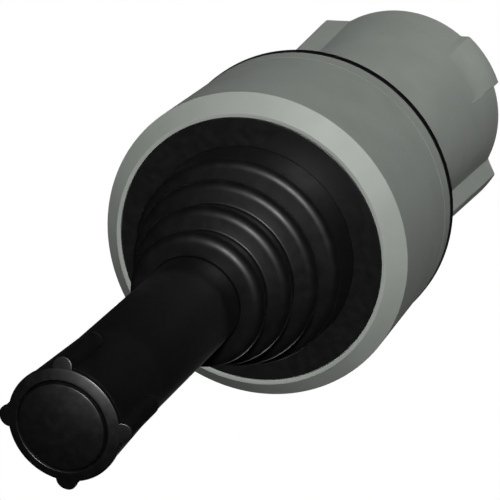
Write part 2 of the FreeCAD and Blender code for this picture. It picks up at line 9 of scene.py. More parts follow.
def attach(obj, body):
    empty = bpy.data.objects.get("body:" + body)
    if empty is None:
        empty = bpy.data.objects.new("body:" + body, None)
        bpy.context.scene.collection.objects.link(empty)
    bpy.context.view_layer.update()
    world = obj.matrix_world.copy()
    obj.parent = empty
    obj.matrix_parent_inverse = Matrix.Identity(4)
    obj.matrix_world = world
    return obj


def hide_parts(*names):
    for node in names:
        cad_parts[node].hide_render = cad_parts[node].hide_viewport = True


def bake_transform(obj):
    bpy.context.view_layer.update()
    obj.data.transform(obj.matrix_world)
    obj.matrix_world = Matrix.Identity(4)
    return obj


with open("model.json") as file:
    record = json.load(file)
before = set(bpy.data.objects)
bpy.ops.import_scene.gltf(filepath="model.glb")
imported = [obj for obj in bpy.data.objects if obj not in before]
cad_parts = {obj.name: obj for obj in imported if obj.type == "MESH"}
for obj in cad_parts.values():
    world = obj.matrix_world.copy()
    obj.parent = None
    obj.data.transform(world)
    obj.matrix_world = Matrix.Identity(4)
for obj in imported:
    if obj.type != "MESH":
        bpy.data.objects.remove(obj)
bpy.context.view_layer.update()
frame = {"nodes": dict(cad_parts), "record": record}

# All lengths below are in millimetres and angles in degrees; meshes are made in metres.
MM = 0.001
TURN_STEPS = 192
SMALL_STEPS = 48
EDGE_STEPS = 5
ARC_STEP = 14
SHARP_ANGLE = 32
QUARTERS = (0, 90, 180, 270)

# Front
BEZEL_BORE_R = 13.25
BEZEL_REAR_R = 14.59
BEZEL_REAR_ROUND = 0.10
BEZEL_R = 14.75
SHOULDER_Z = 15.48
SHOULDER_ROUND = 0.14
LIP_OUTER_R = 13.15
LIP_OUTER_ROUND = 0.07
LIP_INNER_R = 12.76
LIP_INNER_ROUND = 0.05
FACE_Z = 15.6
FRONT_Z = 17.0
FACE_BORE_R = 10.07
CLAMPED_R = 13.1
FACE_SEAT_Z = 15.0
FACE_FIT = 0.05
FACE_DROP = 0.03
FACE_OUTER_ROUND = 0.06
FACE_INNER_ROUND = 0.03
GASKET_BORE_R = 11.3
GASKET_T = 0.75
GASKET_SWELL = 0.08
GASKET_CLEAR = 0.01
GASKET_REAR_ROUND = 0.03
GASKET_FRONT_ROUND = 0.02
FLANGE_Z = 2.6

# Bellows, with each fold's radius and height
BASE_R = 10.05
BASE_Z = 13.95
BASE_TOP_Z = 17.2
WALL = 0.75
FOLDS = ((9.90, 20.10), (8.81, 23.15), (7.48, 26.40), (6.26, 29.85))
FOLD_ROUND = 0.95
FOLD_STEPS = 14
FOLD_LAND = 1.0
FOLD_DROP = 0.25
VALLEY_ROUND = 0.22
HOLLOW_DROP = 0.1
HOLLOW_FOOT_ROUND = 0.3
HOLLOW_TOP_ROUND = 0.2
SEAM_LAP = (0.02, 0.05)
COLLAR_BORE_R = 4.32
COLLAR_R = 4.92
COLLAR_Z = 28.5
COLLAR_FOOT_ROUND = 0.1
COLLAR_TOP_Z = 30.9
COLLAR_TOP_ROUND = 0.08

# Handle
HANDLE_R = 4.27
HANDLE_TIP_R = 4.62
HANDLE_FOOT_Z = 28.3
FLARE_Z = 48.6
FLARE_ROUND = 12
RIB_Z = 51.6
CAP_Z = 57.5
HANDLE_TIP_ROUND = 0.05
TIP_Z = 59.1
DOME_R = 12.0
DOME_STEPS = 12
RIB_R = 0.83
RIB_AT = 4.67
NOSE_STEPS = 10
EAR_AT = 4.78
EAR_TOP_Z = 58.15
EAR_SLOPE = 0.283
EAR_EDGE = 0.08
EAR_CLEAR = 0.02
EAR_STEPS = 64
RIM_R = 4.72
RIM_BEVEL = 0.3
RIM_ROUND = 0.12
RIM_FOOT_ROUND = 0.03
RIM_DOME_RADII = (4.5, 4.3, 4.1)
SHAFT_BORE_R = 3.05
SHAFT_TOP_Z = 50.3
BOSS_BORE_R = 2.5
CHAMBER_R = 3.95
CHAMBER_Z = 55.05
BUTTON_R = 3.66
BUTTON_BORE_R = 3.71
BUTTON_FLANGE_R = 3.9
BUTTON_FLANGE_Z = 56.65
BUTTON_FLANGE_TOP_Z = 57.45
BUTTON_FLANGE_ROUND = 0.05
BOSS_R = 2.3
BOSS_Z = 54.2
BOSS_ROUND = 0.08
PUSH_ROD_R = 0.9
SOCKET_Z = 54.9
GROOVE = 0.13
GROOVE_DEPTH = 0.3
GROOVE_ROUND = 0.06

# Sleeve, its spans in degrees from the angle of a rib or lug
REAR_Z = -31.0
PANEL_Z = -2.9
STEP_Z = -6.4
STEP_BORE_R = 10.25
SLEEVE_BORE_R = 9.65
SLEEVE_R = 11.06
SLEEVE_FLARE = 0.047
CLAMP_R = 12.1
CLAMP_Z = -3.9
SLEEVE_COLLAR_R = 10.8
SLEEVE_COLLAR_Z = -6.0
SLEEVE_COLLAR_RUN = 0.6
SLEEVE_COLLAR_TAPER = 0.02
NECK_Z = -7.2
NECK_STEP = 0.55
SLEEVE_EDGE = 0.1
SLEEVE_END_EDGE = 0.3
SLEEVE_LEVELS = (-30.8, -28.0, -24.0, -20.0, -16.0, -12.0, -8.6, NECK_Z)
SLEEVE_STEPS = 40
SLEEVE_SHARP_ANGLE = 28
FLANK_SPAN = 1.6
FLANK_SHARE = 0.45
SPAN_MARGIN = 2
RIB_CREST_R = 12.6
RIB_FLARE = 0.05
RIB_FOOT_ROUND = 0.25
RIB_EDGE_ROUND = 0.14
RIB_END_LEVELS = ((0.0, 0.2), (0.06, 0.06))
RIB_FADED = 0.01
RIB_STEPS = 6
RIB_ANGLES = (140.2, 317.0)
RIB_ROOT_SPAN = (-18.5, 18.5)
RIB_CREST_SPAN = (-8.2, 13.1)
LUG_R = 11.7
LUG_RUN = 7.0
LUG_RISE_STEPS = 8
LUG_STEPS = 10
LUG_INNER_STEPS = 8
LUG_END_RUN = 0.08
LUG_END_RISE = 0.92
LUG_FOOT_ROUND = 0.01
LUG_EDGE_ROUNDS = (0.1, 0.3)
LUG_SINK = 0.03
LUG_DEPTH = 0.5
LUG_ANGLES = (35.5, 215.5)
LUG_ROOT_SPAN = (-16.5, 21.0)
LUG_CREST_SPAN = (-15.0, 13.5)
SCREW_HOLE_R = 1.05
DRILL_SPAN = (8.0, 14.0)
SCREW_ANGLE = 266.0
SCREW_Z = -20.0

# Springs, each with its coil radius, wire and turns
SPRING_STEPS = 28
WIRE_SIDES = 10
WIRE_SHARP_ANGLE = 60
BUTTON_SPRING = (1.8, 0.35, 4)
CENTRE_SPRING = (2.1, 0.4, 3)
PLUNGER_SPRING = (2.0, 0.4, 5)
PLATE_TOP_Z = -5.0
CENTRE_HEAD_Z = -1.1
TUBE_END_Z = -29.2
PLUNGER_COLLAR_Z = -14.0
PLUNGER_AT = 5.5
PLUNGER_PLACES = {
    "px": (PLUNGER_AT, 0),
    "nx": (-PLUNGER_AT, 0),
    "py": (0, PLUNGER_AT),
    "ny": (0, -PLUNGER_AT),
}

# Light, whose ways point from the object to the lamp
KEY_WAY = (0.315, 0.548, 0.775)
KEY_POWER = 3.3
KEY_ON_BLACK_POWER = 3.5
REAR_WAY = (-0.325, -0.343, -0.881)
REAR_POWER = 1.8
LOW_WAY = (0.0, -0.72, -0.69)
LOW_POWER = 0.4
LOW_ON_BLACK_POWER = 0.1
LIGHT_ANGLE = 9
FILL_COLOUR = (0.97, 1.0, 0.97, 1)
FILL_POWER = 0.006
FLOOR_SIZE = 5000
FLOOR_Z = -620
BACKDROP_R = 2200

# Camera
CAMERA_PLACE = (71.657, 75.621, 210.981)
CAMERA_TURN = (-20.1527, 20.1438, -0.2790)
CAMERA_LENS = 172.8
CAMERA_SENSOR = 36.0
CAMERA_NEAR = 10
CAMERA_FAR = 10000


# Outlines

def polar(radius, degrees):
    """The point at a radius and an angle."""
    way = math.radians(degrees)
    return (radius * math.cos(way), radius * math.sin(way))


def arc_points(centre, radius, start, end, steps):
    """Points on an arc, from one angle to another, in radians."""
    points = []
    for step in range(steps + 1):
        way = start + (end - start) * step / steps
        points.append((centre[0] + radius * math.cos(way), centre[1] + radius * math.sin(way)))
    return points


def rounded(corners):
    """The closed outline through (x, y, rounding) corners, its roundings as short runs of points."""
    points = []
    for number, (x, y, rounding) in enumerate(corners):
        if rounding == 0:
            points.append((x, y))
            continue
        corner = Vector((x, y))
        to_last = (Vector(corners[number - 1][:2]) - corner).normalized()
        to_next = (Vector(corners[(number + 1) % len(corners)][:2]) - corner).normalized()
        half = to_last.angle(to_next) / 2
        centre = corner + (to_last + to_next).normalized() * (rounding / math.sin(half))
        reach = rounding / math.tan(half)
        first = corner + to_last * reach - centre
        last = corner + to_next * reach - centre
        start = math.atan2(first.y, first.x)
        swing = math.remainder(math.atan2(last.y, last.x) - start, 2 * math.pi)
        steps = max(3, round(abs(swing) / math.radians(ARC_STEP)))
        points += arc_points(centre, rounding, start, start + swing, steps)
    return points


# Meshes

def placed(name, mesh):
    """An object in the scene, its shading smooth and its flat faces kept flat."""
    made = bpy.data.objects.new(name, mesh)
    bpy.context.scene.collection.objects.link(made)
    weighted = made.modifiers.new("normals", "WEIGHTED_NORMAL")
    weighted.weight = 100
    weighted.keep_sharp = True
    return made


def piece(name, vertices, faces, sharp=SHARP_ANGLE):
    """A closed mesh in metres from millimetre points, smooth except along its sharp edges."""
    mesh = bpy.data.meshes.new(name)
    mesh.from_pydata([Vector(point) * MM for point in vertices], [], faces)
    build = bmesh.new()
    build.from_mesh(mesh)
    bmesh.ops.remove_doubles(build, verts=build.verts, dist=1e-7)
    bmesh.ops.recalc_face_normals(build, faces=build.faces)
    for face in build.faces:
        face.smooth = True
    for edge in build.edges:
        if len(edge.link_faces) == 2 and edge.calc_face_angle() > math.radians(sharp):
            edge.smooth = False
    build.to_mesh(mesh)
    build.free()
    return placed(name, mesh)


def stitched(rows, closed=True):
    """Points and faces of rows that all run round the axis; closed joins the last row to the first."""
    width = len(rows[0])
    vertices = [point for row in rows for point in row]
    faces = []
    pairs = len(rows) if closed else len(rows) - 1
    for row in range(pairs):
        after = (row + 1) % len(rows)
        for step in range(width):
            onward = (step + 1) % width
            faces.append((
                row * width + step,
                after * width + step,
                after * width + onward,
                row * width + onward,
            ))
    return vertices, faces


def lathe(name, outline, steps=TURN_STEPS):
    """A turned piece from a closed outline of (radius, height) points."""
    rows = []
    for radius, height in outline:
        rows.append([(*polar(radius, 360 * step / steps), height) for step in range(steps)])
    return piece(name, *stitched(rows))


def capped(name, rows, sharp=SHARP_ANGLE):
    """A bar through rows of points, with a face at each end."""
    vertices, faces = stitched(rows, closed=False)
    width = len(rows[0])
    faces.append(tuple(range(width)))
    faces.append(tuple(range(len(vertices) - width, len(vertices))))
    return piece(name, vertices, faces, sharp)


def joined(name, parts):
    """Several meshes as one piece."""
    build = bmesh.new()
    for part in parts:
        build.from_mesh(part.data)
    mesh = bpy.data.meshes.new(name)
    build.to_mesh(mesh)
    build.free()
    for part in parts:
        bpy.data.objects.remove(part)
    return placed(name, mesh)


def turn(made, angle, axis="Z"):
    """Turns a mesh about an axis through the origin, by degrees."""
    made.data.transform(Matrix.Rotation(math.radians(angle), 4, axis))
    return made


def shift(made, x, y, z):
    """Moves a mesh by millimetres."""
    made.data.transform(Matrix.Translation(Vector((x, y, z)) * MM))
    return made


# Materials

class Finish:
    """A material built of nodes that work in the object's own coordinates."""

    def __init__(self, name, colour, roughness, specular=0.5, metallic=0.0):
        self.material = bpy.data.materials.new(name)
        self.material.use_nodes = True
        self.tree = self.material.node_tree
        self.shader = self.tree.nodes["Principled BSDF"]
        self.shader.inputs["Base Color"].default_value = (*colour, 1)
        self.shader.inputs["Roughness"].default_value = roughness
        self.shader.inputs["Specular IOR Level"].default_value = specular
        self.shader.inputs["Metallic"].default_value = metallic
        self.colour = colour
        self.normal = None
        self.place = self.tree.nodes.new("ShaderNodeTexCoord").outputs["Object"]

    def noise(self, size, detail=3.0, stretch=(1, 1, 1)):
        """Noise whose features are about size millimetres across."""
        mapping = self.tree.nodes.new("ShaderNodeMapping")
        mapping.inputs["Scale"].default_value = stretch
        self.tree.links.new(self.place, mapping.inputs["Vector"])
        noise = self.tree.nodes.new("ShaderNodeTexNoise")
        noise.inputs["Scale"].default_value = 1 / (size * MM)
        noise.inputs["Detail"].default_value = detail
        self.tree.links.new(mapping.outputs["Vector"], noise.inputs["Vector"])
        return noise.outputs["Fac"]

    def ranged(self, value, low, high, to_low=0.0, to_high=1.0):
        """Maps a value from one range to another."""
        node = self.tree.nodes.new("ShaderNodeMapRange")
        limits = (("From Min", low), ("From Max", high), ("To Min", to_low), ("To Max", to_high))
        for name, number in limits:
            node.inputs[name].default_value = number
        self.tree.links.new(value, node.inputs["Value"])
        return node.outputs["Result"]

    def tint(self, factor, colour):
        """Mixes a second colour over the material's own where the factor is high."""
        mix = self.tree.nodes.new("ShaderNodeMix")
        mix.data_type = "RGBA"
        mix.inputs["A"].default_value = (*self.colour, 1)
        mix.inputs["B"].default_value = (*colour, 1)
        self.tree.links.new(factor, mix.inputs["Factor"])
        self.tree.links.new(mix.outputs["Result"], self.shader.inputs["Base Color"])

    def gloss(self, value, low, high):
        """Lets the roughness wander between two values."""
        roughness = self.ranged(value, 0.3, 0.7, low, high)
        self.tree.links.new(roughness, self.shader.inputs["Roughness"])

    def bump(self, value, height):
        """Raises the surface by up to height millimetres."""
        node = self.tree.nodes.new("ShaderNodeBump")
        node.inputs["Strength"].default_value = 1.0
        node.inputs["Distance"].default_value = height * MM
        self.tree.links.new(value, node.inputs["Height"])
        if self.normal is not None:
            self.tree.links.new(self.normal, node.inputs["Normal"])
        self.normal = node.outputs["Normal"]
        self.tree.links.new(self.normal, self.shader.inputs["Normal"])


def darker(colour, share):
    """A colour with its channels brought down to a share."""
    return [channel * share for channel in colour]


def painted_metal(name, colour):
    """Satin metallic lacquer on cast metal: a fine grain and faint clouding."""
    finish = Finish(name, colour, roughness=0.66, metallic=0.3)
    clouds = finish.noise(size=4.0)
    finish.tint(finish.ranged(clouds, 0.35, 0.65), darker(colour, 0.93))
    finish.gloss(finish.noise(size=1.3), 0.63, 0.69)
    finish.bump(finish.noise(size=0.16, detail=4.0), height=0.0035)
    return finish.material


def moulded(name, colour, paler, roughness, grain, height, specular=0.5):
    """Moulded plastic with the fine eroded grain of its tool."""
    finish = Finish(name, colour, roughness, specular=specular)
    finish.tint(finish.ranged(finish.noise(size=2.2), 0.4, 0.7), paler)
    finish.gloss(finish.noise(size=0.8), roughness - 0.03, roughness + 0.04)
    finish.bump(finish.noise(size=grain, detail=5.0), height)
    return finish.material


def rubber(name, colour, bloom, roughness):
    """Moulded rubber, slightly uneven, with a faint grey bloom."""
    finish = Finish(name, colour, roughness, specular=0.38)
    finish.tint(finish.ranged(finish.noise(size=1.6), 0.42, 0.72), bloom)
    finish.gloss(finish.noise(size=0.9), roughness - 0.03, roughness + 0.05)
    finish.bump(finish.noise(size=0.5), height=0.004)
    finish.bump(finish.noise(size=0.07, detail=4.0), height=0.0012)
    return finish.material


def bare_metal(name, colour, roughness, stretch):
    """Turned or drawn metal with fine lines along its working direction."""
    finish = Finish(name, colour, roughness, metallic=1.0)
    lines = finish.noise(size=0.25, stretch=stretch)
    finish.tint(finish.ranged(lines, 0.35, 0.65), darker(colour, 0.8))
    finish.gloss(finish.noise(size=0.6), roughness - 0.06, roughness + 0.08)
    finish.bump(lines, height=0.002)
    return finish.material


def grey(level):
    """A neutral colour."""
    return (level, level, level)


MATERIALS = {
    "grey_metal": painted_metal("grey_metal", (0.385, 0.413, 0.381)),
    "grey_sleeve": painted_metal("grey_sleeve", (0.412, 0.442, 0.408)),
    "black_plastic": moulded(
        "black_plastic",
        colour=(0.0014, 0.0014, 0.0015),
        paler=grey(0.0019),
        roughness=0.39,
        grain=0.12,
        height=0.002,
        specular=1.0,
    ),
    "black_rubber": rubber(
        "black_rubber",
        colour=(0.0026, 0.0026, 0.0027),
        bloom=grey(0.0045),
        roughness=0.43,
    ),
    "guide_plastic": moulded(
        "guide_plastic",
        colour=(0.55, 0.54, 0.50),
        paler=(0.60, 0.59, 0.55),
        roughness=0.5,
        grain=0.15,
        height=0.003,
    ),
    "plunger_plastic": moulded(
        "plunger_plastic",
        colour=(0.62, 0.61, 0.57),
        paler=(0.68, 0.67, 0.63),
        roughness=0.42,
        grain=0.12,
        height=0.002,
    ),
    "steel": bare_metal("steel", (0.56, 0.57, 0.58), roughness=0.33, stretch=(1, 1, 0.08)),
    "spring_wire": bare_metal("spring_wire", (0.50, 0.51, 0.52), roughness=0.28, stretch=(1, 1, 1)),
    "zinc": bare_metal("zinc", (0.48, 0.50, 0.51), roughness=0.45, stretch=(1, 1, 1)),
}


def dress(made, name, body, *nodes):
    """Gives a new piece its material, the body it rides on and the nodes it stands for."""
    made.data.materials.append(MATERIALS[name])
    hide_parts(*nodes)
    if body:
        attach(made, body)
    return made


# Front ring, face and gasket

def bezel():
    """Coned front ring with a flat lip, its edges softened by the lacquer."""
    outline = rounded([
        (BEZEL_BORE_R, FLANGE_Z, 0),
        (BEZEL_REAR_R, FLANGE_Z, BEZEL_REAR_ROUND),
        (BEZEL_R, SHOULDER_Z, SHOULDER_ROUND),
        (LIP_OUTER_R, FRONT_Z, LIP_OUTER_ROUND),
        (LIP_INNER_R, FRONT_Z, LIP_INNER_ROUND),
        (LIP_INNER_R, FACE_Z, 0),
        (BEZEL_BORE_R, FACE_Z, 0),
    ])
    return dress(lathe("bezel_ring_fine", outline), "grey_metal", "housing", "bezel_ring")


def face():
    """Flat black ring between the lip and the bellows."""
    outer_r = LIP_INNER_R - FACE_FIT
    top = FRONT_Z - FACE_DROP
    outline = rounded([
        (FACE_BORE_R, FACE_SEAT_Z, 0),
        (CLAMPED_R, FACE_SEAT_Z, 0),
        (CLAMPED_R, FACE_Z, 0),
        (outer_r, FACE_Z, 0),
        (outer_r, top, FACE_OUTER_ROUND),
        (FACE_BORE_R, top, FACE_INNER_ROUND),
    ])
    return dress(lathe("face_plate_fine", outline), "black_plastic", "housing", "face_plate")


def gasket():
    """Sealing ring, its pressed edge swollen a little over the flange's."""
    swollen_r = BEZEL_REAR_R + GASKET_SWELL
    clear_r = BEZEL_REAR_R + GASKET_CLEAR
    outline = rounded([
        (GASKET_BORE_R, 0, GASKET_REAR_ROUND),
        (swollen_r, 0, GASKET_REAR_ROUND),
        (swollen_r, GASKET_T + GASKET_SWELL, GASKET_FRONT_ROUND),
        (clear_r, GASKET_T + GASKET_SWELL, 0),
        (clear_r, GASKET_T, 0),
        (GASKET_BORE_R, GASKET_T, GASKET_FRONT_ROUND),
    ])
    return dress(lathe("panel_gasket_fine", outline), "black_rubber", "housing", "panel_gasket")


# Bellows

def tangent(point, centre, side):
    """Angle of the spot where a line from a point touches a fold's round edge."""
    away = Vector(point) - Vector(centre)
    return math.atan2(away.y, away.x) + side * math.acos(FOLD_ROUND / away.length)


def fold_outer(number, start, end):
    """The round edge of a fold, between the valley below and the valley above."""
    radius, height = FOLDS[number]
    centre = (radius - FOLD_ROUND, height)
    first = tangent(start, centre, 1)
    last = tangent(end, centre, -1)
    return [(x, y, 0) for x, y in arc_points(centre, FOLD_ROUND, first, last, FOLD_STEPS)]


def valley(number):
    """Where the valley above a fold lies."""
    radius, height = FOLDS[number]
    return (radius - FOLD_ROUND - FOLD_LAND, height + FOLD_ROUND + FOLD_DROP)


def bellows_lower():
    """Clamped flange, upright base wall and first fold."""
    radius, height = FOLDS[0]
    seam = valley(0)
    corners = [
        (CLAMPED_R, FACE_SEAT_Z, 0),
        (BASE_R, FACE_SEAT_Z, 0),
        (BASE_R, BASE_TOP_Z, 0),
    ]
    corners += fold_outer(0, (BASE_R, BASE_TOP_Z), seam)
    corners += [
        (seam[0], seam[1], 0),
        (seam[0] - WALL, seam[1] - WALL / 2, 0),
        (seam[0] - WALL / 2, seam[1] - WALL, 0),
        (radius - FOLD_ROUND, height + FOLD_ROUND - WALL, HOLLOW_TOP_ROUND),
        (BASE_R - WALL, height - HOLLOW_DROP, HOLLOW_FOOT_ROUND),
        (BASE_R - WALL, BASE_Z, 0),
        (CLAMPED_R, BASE_Z, 0),
    ]
    made = dress(lathe("bellows_base", rounded(corners)), "black_rubber", None, "bellows")
    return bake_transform(made)


def bellows_upper():
    """The three upper folds and the collar on the handle."""
    seam = valley(0)
    corners = [(seam[0] - SEAM_LAP[0], seam[1] - SEAM_LAP[1], 0)]
    start = seam
    for number in (1, 2, 3):
        end = valley(number) if number < 3 else (COLLAR_BORE_R, COLLAR_TOP_Z)
        corners += fold_outer(number, start, end)
        if number < 3:
            corners.append((*end, VALLEY_ROUND))
        start = end
    corners += [
        (COLLAR_BORE_R, COLLAR_TOP_Z, COLLAR_TOP_ROUND),
        (COLLAR_BORE_R, COLLAR_Z, 0),
        (COLLAR_R, COLLAR_Z, COLLAR_FOOT_ROUND),
    ]
    for number in (3, 2, 1):
        radius, height = FOLDS[number]
        below = valley(number - 1)
        top = height + FOLD_ROUND - WALL
        corners.append((max(radius - WALL - FOLD_ROUND / 2, COLLAR_R), top, 0))
        corners.append((radius - WALL, height - HOLLOW_DROP, 0))
        corners.append((below[0] - WALL, below[1] - WALL, 0))
    made = dress(lathe("bellows_folds", rounded(corners)), "black_rubber", None, "bellows")
    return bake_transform(made)


# Handle, tip and button

def dome_z(radius):
    """Height of the tip's dome at a radius."""
    return TIP_Z - DOME_R + math.sqrt(DOME_R ** 2 - radius ** 2)


def handle():
    """Slim handle with four half-round ribs at its tip."""
    body = lathe("body", rounded([
        (SHAFT_BORE_R, HANDLE_FOOT_Z, 0),
        (HANDLE_R, HANDLE_FOOT_Z, 0),
        (HANDLE_R, FLARE_Z, FLARE_ROUND),
        (HANDLE_TIP_R, CAP_Z, HANDLE_TIP_ROUND),
        (CHAMBER_R, CAP_Z, 0),
        (CHAMBER_R, CHAMBER_Z, 0),
        (BOSS_BORE_R, CHAMBER_Z, 0),
        (BOSS_BORE_R, SHAFT_TOP_Z, 0),
        (SHAFT_BORE_R, SHAFT_TOP_Z, 0),
    ]))
    nose = arc_points((0, RIB_Z + RIB_R), RIB_R, -math.pi / 2, 0, NOSE_STEPS)
    parts = [body]
    for angle in QUARTERS:
        rib = lathe("rib", nose + [(RIB_R, CAP_Z), (0, CAP_Z)], steps=SMALL_STEPS)
        parts.append(turn(shift(rib, RIB_AT, 0, 0), angle))
    return dress(joined("handle_fine", parts), "black_plastic", "lever", "handle_grip")


def ear():
    """A short round post whose top slopes outwards and is rounded at its edge."""
    foot_z = CAP_Z + EAR_CLEAR
    outline = [(RIB_R - EAR_EDGE / 2, foot_z, False), (RIB_R, CAP_Z + EAR_EDGE, False)]
    edge = arc_points((RIB_R - EAR_EDGE, -EAR_EDGE), EAR_EDGE, 0, math.pi / 2, EDGE_STEPS)
    outline += [(radius, below_top, True) for radius, below_top in edge]
    outline += [(0, 0, True), (0, foot_z, False)]
    rows = []
    for radius, height, on_top in outline:
        row = []
        for step in range(EAR_STEPS):
            x, y = polar(radius, 360 * step / EAR_STEPS)
            slope = EAR_TOP_Z - EAR_SLOPE * (EAR_AT + x - HANDLE_TIP_R)
            row.append((EAR_AT + x, y, height + slope if on_top else height))
        rows.append(row)
    return piece("ear", *stitched(rows))


def cap():
    """Domed rim round the button, with four ears that end the ribs."""
    groove_r = BUTTON_BORE_R + GROOVE
    dome = [(radius, dome_z(radius), 0) for radius in RIM_DOME_RADII]
    rim = lathe("rim", rounded([
        (BUTTON_BORE_R, CAP_Z, 0),
        (HANDLE_TIP_R, CAP_Z, RIM_FOOT_ROUND),
        (RIM_R, CAP_Z + RIM_BEVEL, RIM_ROUND),
        (RIM_R, dome_z(RIM_R), RIM_ROUND),
        *dome,
        (groove_r, dome_z(groove_r), GROOVE_ROUND),
        (BUTTON_BORE_R, dome_z(BUTTON_BORE_R) - GROOVE_DEPTH, 0),
    ]))
    parts = [rim]
    for angle in QUARTERS:
        parts.append(turn(ear(), angle))
    return dress(joined("end_cap_fine", parts), "black_plastic", "lever", "end_cap")


def button():
    """Flush domed disc, kept in by its flange."""
    edge_r = BUTTON_R - GROOVE
    dome = []
    for step in range(DOME_STEPS - 1, -1, -1):
        radius = edge_r * step / DOME_STEPS
        dome.append((radius, dome_z(radius), 0))
    outline = rounded([
        (PUSH_ROD_R, BOSS_Z, 0),
        (BOSS_R, BOSS_Z, BOSS_ROUND),
        (BOSS_R, BUTTON_FLANGE_Z, 0),
        (BUTTON_FLANGE_R, BUTTON_FLANGE_Z, BUTTON_FLANGE_ROUND),
        (BUTTON_FLANGE_R, BUTTON_FLANGE_TOP_Z, BUTTON_FLANGE_ROUND),
        (BUTTON_R, BUTTON_FLANGE_TOP_Z, 0),
        (BUTTON_R, dome_z(BUTTON_R) - GROOVE_DEPTH, 0),
        (edge_r, dome_z(edge_r), GROOVE_ROUND),
        *dome,
        (0, SOCKET_Z, 0),
        (PUSH_ROD_R, SOCKET_Z, 0),
    ])
    return dress(lathe("push_button_fine", outline), "black_plastic", "button", "push_button")


# Ribbed sleeve

def spread(radius, start, end, steps):
    """Points between two angles on a circle, without the ends."""
    return [polar(radius, start + (end - start) * step / steps) for step in range(1, steps)]


def flank(foot, top, root_angle, crest_angle, foot_round, edge_round):
    """A rib's side from its foot to its top, with the same number of points at every height."""
    way = math.copysign(FLANK_SPAN, crest_angle - root_angle)
    corners = [
        Vector(polar(foot, root_angle - way)),
        Vector(polar(foot, root_angle)),
        Vector(polar(top, crest_angle)),
        Vector(polar(top, crest_angle + way)),
    ]
    points = []
    for number, most in ((1, foot_round), (2, edge_round)):
        corner = corners[number]
        before = corners[number - 1] - corner
        after = corners[number + 1] - corner
        reach = min(most, before.length * FLANK_SHARE, after.length * FLANK_SHARE)
        first = corner + before.normalized() * reach
        last = corner + after.normalized() * reach
        for step in range(EDGE_STEPS + 1):
            part = step / EDGE_STEPS
            bend = first * (1 - part) ** 2 + corner * 2 * part * (1 - part) + last * part ** 2
            points.append((bend.x, bend.y))
    return points


def sleeve_section(z, barrel_r, crest_r):
    """One cross-section of the sleeve with its two ribs."""
    rounds = (RIB_FOOT_ROUND, RIB_EDGE_ROUND)
    points = []
    for number, angle in enumerate(RIB_ANGLES):
        root_start, root_end = (angle + way for way in RIB_ROOT_SPAN)
        crest_start, crest_end = (angle + way for way in RIB_CREST_SPAN)
        last_end = RIB_ANGLES[number - 1] + RIB_ROOT_SPAN[1] + SPAN_MARGIN
        if last_end > angle:
            last_end -= 360
        points += spread(barrel_r, last_end, root_start - SPAN_MARGIN, SLEEVE_STEPS)
        points += flank(barrel_r, crest_r, root_start, crest_start, *rounds)
        points += spread(crest_r, crest_start + SPAN_MARGIN, crest_end - SPAN_MARGIN, RIB_STEPS)
        points += flank(barrel_r, crest_r, root_end, crest_end, *rounds)[::-1]
    return [(x, y, z) for x, y in points]


def lug():
    """Low lug that the sleeve's surface rises to at its rear end."""
    root_start, root_end = LUG_ROOT_SPAN
    crest_start, crest_end = LUG_CREST_SPAN
    inner_r = SLEEVE_R - LUG_DEPTH
    levels = [(REAR_Z, LUG_END_RISE)]
    for step in range(LUG_RISE_STEPS + 1):
        part = step / LUG_RISE_STEPS
        levels.append((REAR_Z + LUG_END_RUN + LUG_RUN * part, (1 + math.cos(math.pi * part)) / 2))
    rows = []
    for z, rise in levels:
        sunk_r = SLEEVE_R - SLEEVE_FLARE * (z - REAR_Z) - LUG_SINK
        radius = sunk_r + (LUG_R - SLEEVE_R + LUG_SINK) * rise
        loop = [polar(inner_r, root_start)]
        rising = flank(SLEEVE_R, radius, root_start, crest_start, LUG_FOOT_ROUND, LUG_EDGE_ROUNDS[0])
        falling = flank(SLEEVE_R, radius, root_end, crest_end, LUG_FOOT_ROUND, LUG_EDGE_ROUNDS[1])
        loop += rising[EDGE_STEPS + 1:]
        loop += spread(radius, crest_start + SPAN_MARGIN, crest_end - SPAN_MARGIN, LUG_STEPS)
        loop += falling[:EDGE_STEPS:-1]
        loop += [polar(inner_r, root_end)]
        loop += spread(inner_r, root_end, root_start, LUG_INNER_STEPS)
        rows.append([(x, y, z) for x, y in loop])
    return capped("lug", rows)


def drilled(tube):
    """The sleeve's tube with the radial hole of its fixing screw."""
    start, end = DRILL_SPAN
    outline = [(0, start), (SCREW_HOLE_R, start), (SCREW_HOLE_R, end), (0, end)]
    drill = lathe("drill", outline, steps=SMALL_STEPS)
    shift(turn(turn(drill, 90, "Y"), SCREW_ANGLE), 0, 0, SCREW_Z)
    tube.modifiers.clear()
    cut = tube.modifiers.new("hole", "BOOLEAN")
    cut.object = drill
    cut.solver = "EXACT"
    bored = bpy.data.meshes.new_from_object(tube.evaluated_get(bpy.context.evaluated_depsgraph_get()))
    tube.modifiers.clear()
    tube.data = bored
    bpy.data.objects.remove(drill)
    return tube


